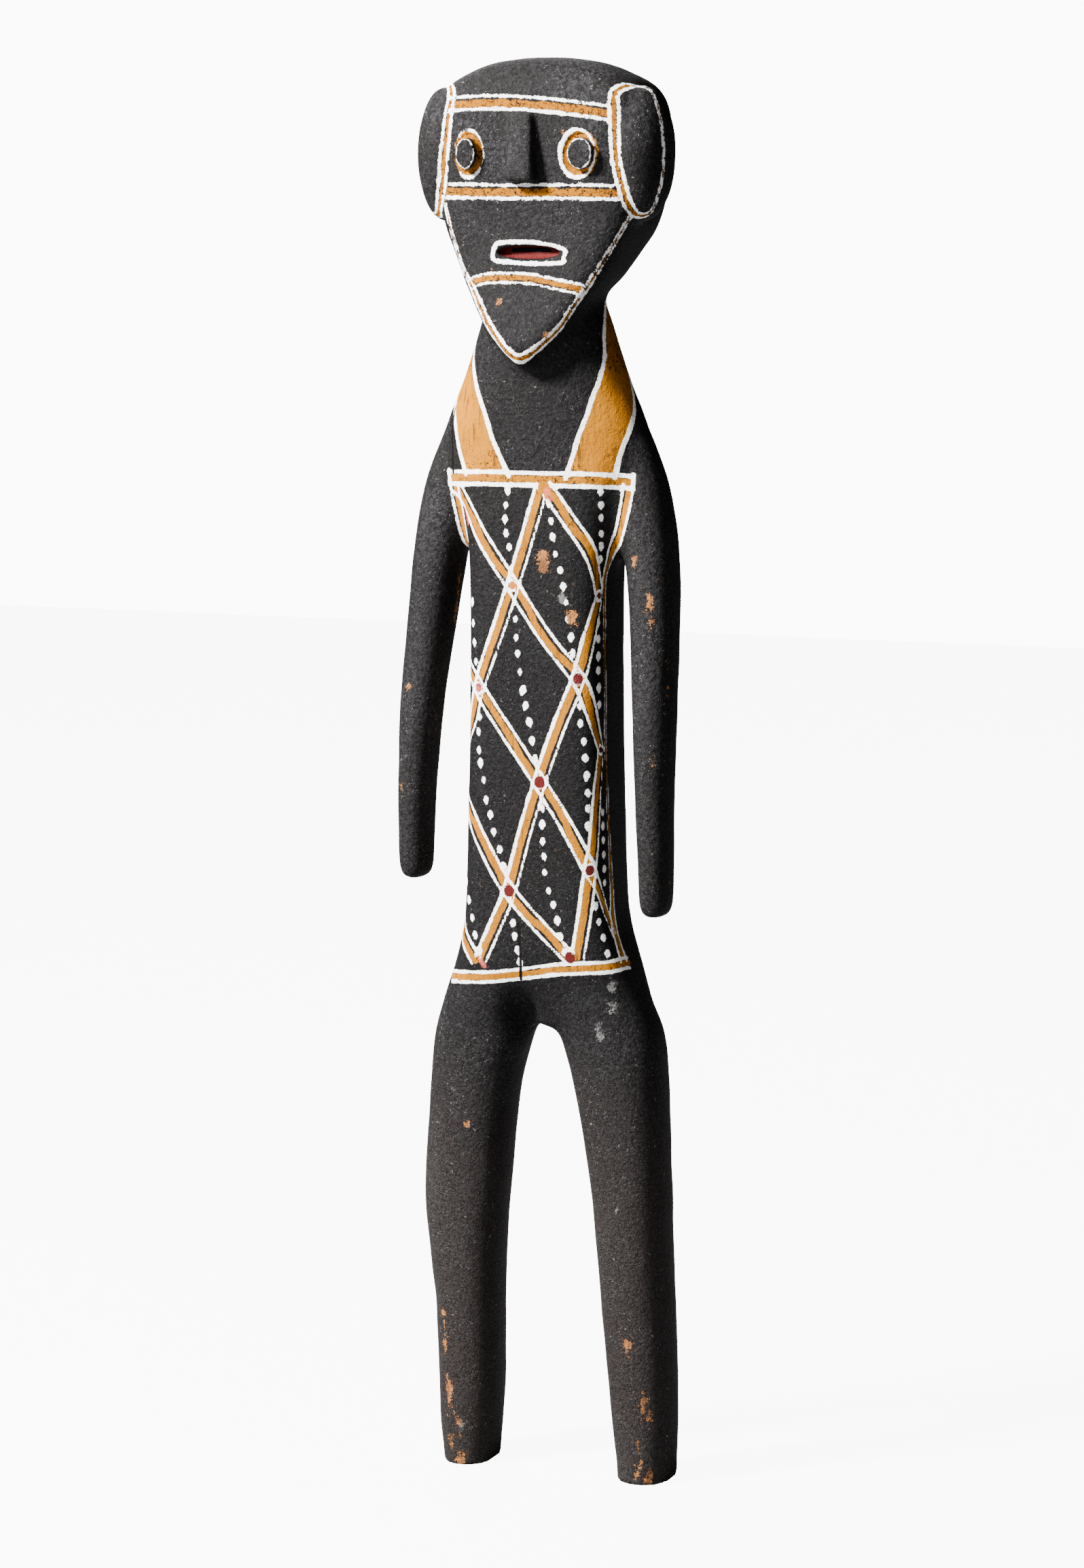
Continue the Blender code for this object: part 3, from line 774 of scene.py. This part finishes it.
def objectCoords(tree, stretch=(1, 1, 1)):
    coords = addNode(tree, "ShaderNodeTexCoord").outputs["Object"]
    return addNode(tree, "ShaderNodeMapping", {"Vector": coords, "Scale": stretch}).outputs["Vector"]


def grain(tree, coords, scale, detail=2.0, roughness=0.5):
    values = {"Vector": coords, "Scale": scale, "Detail": detail, "Roughness": roughness}
    return addNode(tree, "ShaderNodeTexNoise", values).outputs["Fac"]


def bent(tree, coords, scale, detail, reach, centred=False):
    # the coordinates pushed about by noise
    values = {"Vector": coords, "Scale": scale, "Detail": detail}
    push = addNode(tree, "ShaderNodeTexNoise", values).outputs["Color"]
    if centred:
        middle = {0: push, 1: (0.5, 0.5, 0.5)}
        push = addNode(tree, "ShaderNodeVectorMath", middle, operation="SUBTRACT").outputs[0]
    steps = {0: push, 1: (reach, reach, reach), 2: coords}
    return addNode(tree, "ShaderNodeVectorMath", steps, operation="MULTIPLY_ADD").outputs[0]


def ramp(tree, value, low, high, outLow=0.0, outHigh=1.0):
    made = addNode(
        tree, "ShaderNodeMapRange",
        {"Value": value, "From Min": low, "From Max": high, "To Min": outLow, "To Max": outHigh},
        interpolation_type="SMOOTHSTEP",
    )
    return made.outputs["Result"]


def mixColour(tree, share, first, second, blend="MIX"):
    made = addNode(tree, "ShaderNodeMix", data_type="RGBA", blend_type=blend)
    for index, value in ((0, share), (6, first), (7, second)):
        if isinstance(value, bpy.types.NodeSocket):
            tree.links.new(value, made.inputs[index])
        else:
            made.inputs[index].default_value = value
    return made.outputs[2]


def paintEdgeGroup():
    # how much paint lies where the distance to its stroke is known
    values = [(name, "Float", 0) for name in ("Reach", "Wobble", "Softness", "Pits")]
    tree, entry, leaving = shaderGroup("paintEdge", values, (("Mask", "Float"),))
    coords = objectCoords(tree)
    slow = mathNode(tree, "SUBTRACT", grain(tree, coords, 300, 1), 0.5)
    fast = mathNode(tree, "SUBTRACT", grain(tree, coords, 1100, 2, 0.6), 0.5)
    wander = mathNode(tree, "MULTIPLY_ADD", fast, 1.1, slow)
    shift = mathNode(tree, "MULTIPLY_ADD", wander, entry.outputs["Wobble"], entry.outputs["Reach"])
    low = mathNode(tree, "MULTIPLY", entry.outputs["Softness"], -1)
    cover = ramp(tree, shift, entry.outputs["Softness"], low)
    fine = grain(tree, coords, 1500, 2, 0.6)
    patch = ramp(tree, grain(tree, coords, 110, 2), 0.40, 0.70, -0.06, 0.06)
    edge = ramp(tree, entry.outputs["Reach"], -1.0, 0.1, 0.0, 0.07)
    worn = mathNode(tree, "ADD", mathNode(tree, "ADD", fine, patch), edge)
    bare = ramp(tree, worn, 0.66, 0.72)
    kept = mathNode(tree, "SUBTRACT", 1.0, mathNode(tree, "MULTIPLY", bare, entry.outputs["Pits"]))
    tree.links.new(mathNode(tree, "MULTIPLY", cover, kept), leaving.inputs["Mask"])
    return tree


def crackleGroup():
    # hair cracks, in patches
    values = [(name, "Float", 0) for name in ("Scale", "Width", "Amount")]
    tree, entry, leaving = shaderGroup("crackle", values, (("Mask", "Float"),))
    coords = objectCoords(tree)
    moved = bent(tree, coords, 500.0, 2.0, 0.0026, centred=True)
    cells = addNode(
        tree, "ShaderNodeTexVoronoi", {"Vector": moved, "Scale": entry.outputs["Scale"]},
        feature="DISTANCE_TO_EDGE",
    ).outputs["Distance"]
    core = mathNode(tree, "MULTIPLY", entry.outputs["Width"], 0.4)
    line = ramp(tree, cells, entry.outputs["Width"], core)
    broken = ramp(tree, grain(tree, coords, 420, 2), 0.42, 0.56)
    patch = mathNode(tree, "ADD", grain(tree, coords, 75, 3, 0.6), entry.outputs["Amount"])
    shown = mathNode(tree, "MULTIPLY", ramp(tree, patch, 0.96, 1.10), broken)
    tree.links.new(mathNode(tree, "MULTIPLY", line, shown), leaving.inputs["Mask"])
    return tree


def flecks(tree, coords, scale, size, share):
    # small marks in some of the cells of a grid, some fainter than others
    cells = addNode(tree, "ShaderNodeTexVoronoi", {"Vector": coords, "Scale": scale}, feature="F1")
    chance = addNode(tree, "ShaderNodeSeparateColor", {"Color": cells.outputs["Color"]})
    dot = ramp(tree, cells.outputs["Distance"], size, size * 0.4)
    chosen = mathNode(tree, "GREATER_THAN", chance.outputs["Red"], 1 - share)
    strength = mathNode(tree, "POWER", chance.outputs["Green"], 1.6)
    return mathNode(tree, "MULTIPLY", dot, mathNode(tree, "MULTIPLY", chosen, strength))


def charcoalGroup(look):
    # matt charcoal pigment rubbed into the wood: grain, bloom and pale specks
    values = (("Bloom", "Float", 1.0), ("Specks", "Float", 1.0))
    tree, entry, leaving = shaderGroup("charcoalSkin", values, (("Color", "Color"), ("Height", "Float")))
    coords = objectCoords(tree)
    fibres = objectCoords(tree, (1, 1, 0.3))
    coarse = grain(tree, coords, 520, 3, 0.65)
    fine = grain(tree, coords, 1500, 2, 0.6)
    drawn = grain(tree, fibres, 480, 3, 0.6)
    mottle = mathNode(tree, "MULTIPLY_ADD", fine, 0.55, mathNode(tree, "MULTIPLY", coarse, 0.45))
    base = mixColour(tree, ramp(tree, mottle, 0.42, 0.60), look["charcoal"], look["charcoalWorn"])
    place = addNode(tree, "ShaderNodeSeparateXYZ", {"Vector": coords}).outputs
    rise = place["Z"]
    aside = mathNode(tree, "ABSOLUTE", place["X"])
    undarkened = mathNode(tree, "MAXIMUM", ramp(tree, rise, 0.49, 0.53, 0, 0.5), ramp(tree, rise, 0.62, 0.69))
    undarkened = mathNode(tree, "MAXIMUM", undarkened, ramp(tree, rise, 0.26, 0.20))
    undarkened = mathNode(tree, "MAXIMUM", undarkened, ramp(tree, aside, 0.046, 0.050))
    shins = ramp(tree, rise, 0.25, 0.12)
    rubbed = mathNode(tree, "MULTIPLY", shins, ramp(tree, fine, 0.42, 0.62, 0.1, 0.7))
    base = mixColour(tree, rubbed, base, look["rubbed"])
    cloud = ramp(tree, grain(tree, coords, 24, 4, 0.6), 0.42, 0.70)
    veil = ramp(tree, coarse, 0.40, 0.66)
    bloom = mathNode(tree, "MULTIPLY", mathNode(tree, "MULTIPLY", cloud, veil), entry.outputs["Bloom"])
    base = mixColour(tree, mathNode(tree, "MULTIPLY", bloom, 0.42), base, look["bloom"])
    warped = bent(tree, coords, 800.0, 1.0, 0.003)
    patchy = ramp(tree, grain(tree, coords, 70, 3), 0.38, 0.62, 0.15, 1.0)
    small = flecks(tree, warped, 900.0, 0.36, 0.50)
    large = flecks(tree, warped, 330.0, 0.22, 0.22)
    specks = mathNode(tree, "MAXIMUM", mathNode(tree, "MULTIPLY", small, 0.7), large)
    specks = mathNode(tree, "MULTIPLY", mathNode(tree, "MULTIPLY", specks, patchy), entry.outputs["Specks"])
    base = mixColour(tree, specks, base, look["speck"])
    tan = flecks(tree, warped, 120.0, 0.11, 0.12)
    base = mixColour(tree, mathNode(tree, "MULTIPLY", tan, entry.outputs["Specks"]), base, look["fleck"])
    # the charcoal is made darkest on the torso, less dark from the shoulders to the lower face, and is left
    # as it is on the top of the head, the arms and the legs
    darker = mixColour(tree, ramp(tree, undarkened, 0, 1, 0.62, 1.0), (0, 0, 0, 1), base)
    tree.links.new(darker, leaving.inputs["Color"])
    height = mathNode(tree, "MULTIPLY_ADD", fine, 0.5, mathNode(tree, "MULTIPLY_ADD", drawn, 0.3, coarse))
    tree.links.new(mathNode(tree, "MULTIPLY_ADD", specks, 0.25, height), leaving.inputs["Height"])
    return tree


def woodGroup(look):
    tree, entry, leaving = shaderGroup("bareWood", (("Scale", "Float", 420.0),), (("Color", "Color"),))
    fibres = objectCoords(tree, (1, 1, 0.12))
    lines = ramp(tree, grain(tree, fibres, entry.outputs["Scale"], 4, 0.65), 0.36, 0.60)
    pores = ramp(tree, grain(tree, objectCoords(tree), 900, 2), 0.54, 0.66, 0, 0.8)
    base = mixColour(tree, lines, look["woodDark"], look["wood"])
    tree.links.new(mixColour(tree, pores, base, look["woodDark"]), leaving.inputs["Color"])
    return tree


def paintedWood(look):
    material = bpy.data.materials.new("paintedWood")
    material.use_nodes = True
    tree = material.node_tree
    shader = tree.nodes["Principled BSDF"]
    edgeGroup = paintEdgeGroup()
    crackles = crackleGroup()

    def reach(layer):
        return addNode(tree, "ShaderNodeAttribute", attribute_name=layer).outputs["Fac"]

    def cover(layer):
        wobble, softness, pits = look["edges"][layer]
        values = {"Reach": reach(layer), "Wobble": wobble or lineWobble, "Softness": softness, "Pits": pits}
        return useGroup(tree, edgeGroup, values).outputs["Mask"]

    coords = objectCoords(tree)
    fibres = objectCoords(tree, (1, 1, 0.22))
    rise = addNode(tree, "ShaderNodeSeparateXYZ", {"Vector": coords}).outputs["Z"]
    aloft = ramp(tree, rise, 0.555, 0.575)      # 1 on the head
    lineWobble = ramp(tree, aloft, 0, 1, *look["lineWobble"])
    bloom = ramp(tree, rise, 0.60, 0.70, 0.5, 1.3)
    skin = useGroup(tree, charcoalGroup(look), {"Bloom": bloom, "Specks": 1.0})
    colour = skin.outputs["Color"]
    # ochre, with the brush's streaks, pits and hair cracks
    streak = ramp(tree, grain(tree, fibres, 700, 3, 0.6), 0.42, 0.70)
    tone = ramp(tree, grain(tree, coords, 60, 3), 0.35, 0.65)
    ochre = mixColour(tree, mathNode(tree, "MULTIPLY", streak, 0.50), look["ochre"], look["ochreDeep"])
    ochre = mixColour(tree, mathNode(tree, "MULTIPLY", tone, 0.30), ochre, look["ochreDeep"])
    ochre = mixColour(tree, mathNode(tree, "MULTIPLY", aloft, 0.45), ochre, look["ochreDeep"])
    drag = ramp(tree, grain(tree, objectCoords(tree, (1, 1, 0.07)), 520, 3, 0.6), 0.54, 0.66, 0, 0.75)
    drag = mathNode(tree, "MULTIPLY", drag, ramp(tree, grain(tree, coords, 45, 2), 0.44, 0.60))
    pits = flecks(tree, coords, 230.0, 0.14, 0.45)
    ochre = mixColour(tree, mathNode(tree, "MAXIMUM", drag, pits), ochre, look["burnt"])
    ochreMask = cover("ochre")
    colour = mixColour(tree, ochreMask, colour, ochre)
    # the face and the belt have dried hardest
    head = ramp(tree, aloft, 0, 1, 0.36, 0.66)
    belt = ramp(tree, rise, 0.545, 0.515, 0.36, 0.56)
    amount = mathNode(tree, "MAXIMUM", head, belt)
    amount = mathNode(tree, "MULTIPLY", amount, ramp(tree, rise, 0.500, 0.505, 0.75, 1.0))
    cracks = useGroup(tree, crackles, {"Scale": 470.0, "Width": 0.085, "Amount": amount}).outputs["Mask"]
    colour = mixColour(tree, mathNode(tree, "MULTIPLY", cracks, ochreMask), colour, look["charcoal"])
    # white lines and dots
    dull = ramp(tree, grain(tree, coords, 650, 3, 0.65), 0.50, 0.72)
    white = mixColour(tree, dull, look["white"], look["whiteDull"])
    whiteMask = cover("white")
    colour = mixColour(tree, whiteMask, colour, white)
    colour = mixColour(tree, cover("patch"), colour, ochre)
    for layer, paint, share in look["overpaints"]:
        colour = mixColour(tree, mathNode(tree, "MULTIPLY", cover(layer), share), colour, look[paint])
    bareMask = cover("bare")
    wood = useGroup(tree, woodGroup(look), {}).outputs["Color"]
    colour = mixColour(tree, bareMask, colour, wood)
    # black in the cracks, and painted shade along the mouth's slit
    crack = ramp(tree, reach("crack"), 0.3, -0.1)
    colour = mixColour(tree, crack, colour, look["crackAndShadeBlack"])
    tree.links.new(colour, shader.inputs["Base Color"])
    paint = mathNode(tree, "MAXIMUM", whiteMask, ochreMask)
    tree.links.new(ramp(tree, paint, 0, 1, *look["roughness"]), shader.inputs["Roughness"])
    shader.inputs["Specular IOR Level"].default_value = look["specular"]
    # height: the grain of the skin, the body of the paint, and what is broken away
    pile = mathNode(tree, "MULTIPLY", skin.outputs["Height"], ramp(tree, paint, 0, 1, 0.75, 0.45))
    for mask, name in ((whiteMask, "white"), (cracks, "crackle"), (bareMask, "bare"), (crack, "crack")):
        pile = mathNode(tree, "MULTIPLY_ADD", mask, look["bumps"][name], pile)
    bump = addNode(tree, "ShaderNodeBump", {"Height": pile, "Strength": 1.0, "Distance": 1.0 * mm})
    tree.links.new(bump.outputs["Normal"], shader.inputs["Normal"])
    return material


material = paintedWood(finish)
brush, inputs = brushTree()
layers = [strokeObject(name, made) for name, made in strokes.items()]
for layer, name in zip(layers, strokes):
    step = figure.modifiers.new(name, "NODES")
    step.node_group = brush
    step[inputs["Strokes"]] = layer
    step[inputs["Layer"]] = name
    step[inputs["Finish"]] = material
bakeModifiers(figure)
for layer in layers:
    bpy.data.objects.remove(layer)
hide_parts("spirit_figure")
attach(figure, "root")
print("painted:", len(figure.data.vertices), "points")


# floor, light and camera

studio = {
    "floorSize": 8.0,
    "floorColour": (0.22, 0.22, 0.22, 1),
    "floorRoughness": 0.9,
    "air": (1.0, 1.0, 1.0, 1),
    "airStrength": 0.03,
    "backdropStrength": 11.0,
    "floorGlow": 9.0,
    "middle": (0, 0, 0.4),      # where the lights point
    "key": {"azimuth": -43, "elevation": 39, "distance": 2.4, "size": 0.42, "power": 560},
    "fill": {"azimuth": -10, "elevation": 30, "distance": 3.0, "size": 1.4, "power": 42},
    "back": {"azimuth": 215, "elevation": 30, "distance": 3.0, "size": 1.4, "power": 45},
}


def plainFloor(look):
    half = look["floorSize"] / 2
    corners = [(-half, -half, 0), (half, -half, 0), (half, half, 0), (-half, half, 0)]
    item = meshObject("floor", corners, faces=[(0, 1, 2, 3)])
    paint = bpy.data.materials.new("paleFloor")
    paint.use_nodes = True
    shader = paint.node_tree.nodes["Principled BSDF"]
    shader.inputs["Base Color"].default_value = look["floorColour"]
    shader.inputs["Roughness"].default_value = look["floorRoughness"]
    # the floor is as pale as the backdrop to look at, and throws little light back up
    shader.inputs["Emission Color"].default_value = look["air"]
    seen = addNode(paint.node_tree, "ShaderNodeLightPath").outputs["Is Camera Ray"]
    glow = mathNode(paint.node_tree, "MULTIPLY", seen, look["floorGlow"])
    paint.node_tree.links.new(glow, shader.inputs["Emission Strength"])
    item.data.materials.append(paint)


def softLight(name, look, middle):
    turn = math.radians(look["azimuth"])
    rise = math.radians(look["elevation"])
    back = Vector((math.sin(turn) * math.cos(rise), -math.cos(turn) * math.cos(rise), math.sin(rise)))
    light = bpy.data.lights.new(name, "AREA")
    light.size = look["size"]
    light.energy = look["power"]
    item = bpy.data.objects.new(name, light)
    item.location = Vector(middle) + back * look["distance"]
    item.rotation_euler = back.to_track_quat("Z", "Y").to_euler()
    bpy.context.scene.collection.objects.link(item)


def studioAir(look):
    world = bpy.data.worlds.new("studioAir")
    world.use_nodes = True
    tree = world.node_tree
    air = tree.nodes["Background"]
    air.inputs["Color"].default_value = look["air"]
    air.inputs["Strength"].default_value = look["airStrength"]
    # the backdrop is bright to look at and adds little light of its own
    values = {"Color": look["air"], "Strength": look["backdropStrength"]}
    backdrop = addNode(tree, "ShaderNodeBackground", values)
    seen = addNode(tree, "ShaderNodeLightPath").outputs["Is Camera Ray"]
    both = addNode(tree, "ShaderNodeMixShader", {0: seen, 1: air.outputs[0], 2: backdrop.outputs[0]})
    tree.links.new(both.outputs[0], tree.nodes["World Output"].inputs["Surface"])
    bpy.context.scene.world = world


eye = {"lens": 100, "azimuth": 22, "elevation": 7.8, "distance": 2200, "target": (-2.57, -15.87, 355)}


def photoCamera(look):
    turn = math.radians(look["azimuth"])
    rise = math.radians(look["elevation"])
    back = Vector((math.sin(turn) * math.cos(rise), -math.cos(turn) * math.cos(rise), math.sin(rise)))
    lens = bpy.data.cameras.new("photoCamera")
    lens.lens = look["lens"]
    item = bpy.data.objects.new("photoCamera", lens)
    item.location = (Vector(look["target"]) + back * look["distance"]) * mm
    item.rotation_euler = back.to_track_quat("Z", "Y").to_euler()
    bpy.context.scene.collection.objects.link(item)
    bpy.context.scene.camera = item


plainFloor(studio)
for name in ("key", "fill", "back"):
    softLight(name + "Light", studio[name], studio["middle"])
studioAir(studio)
photoCamera(eye)
print("studio ready")
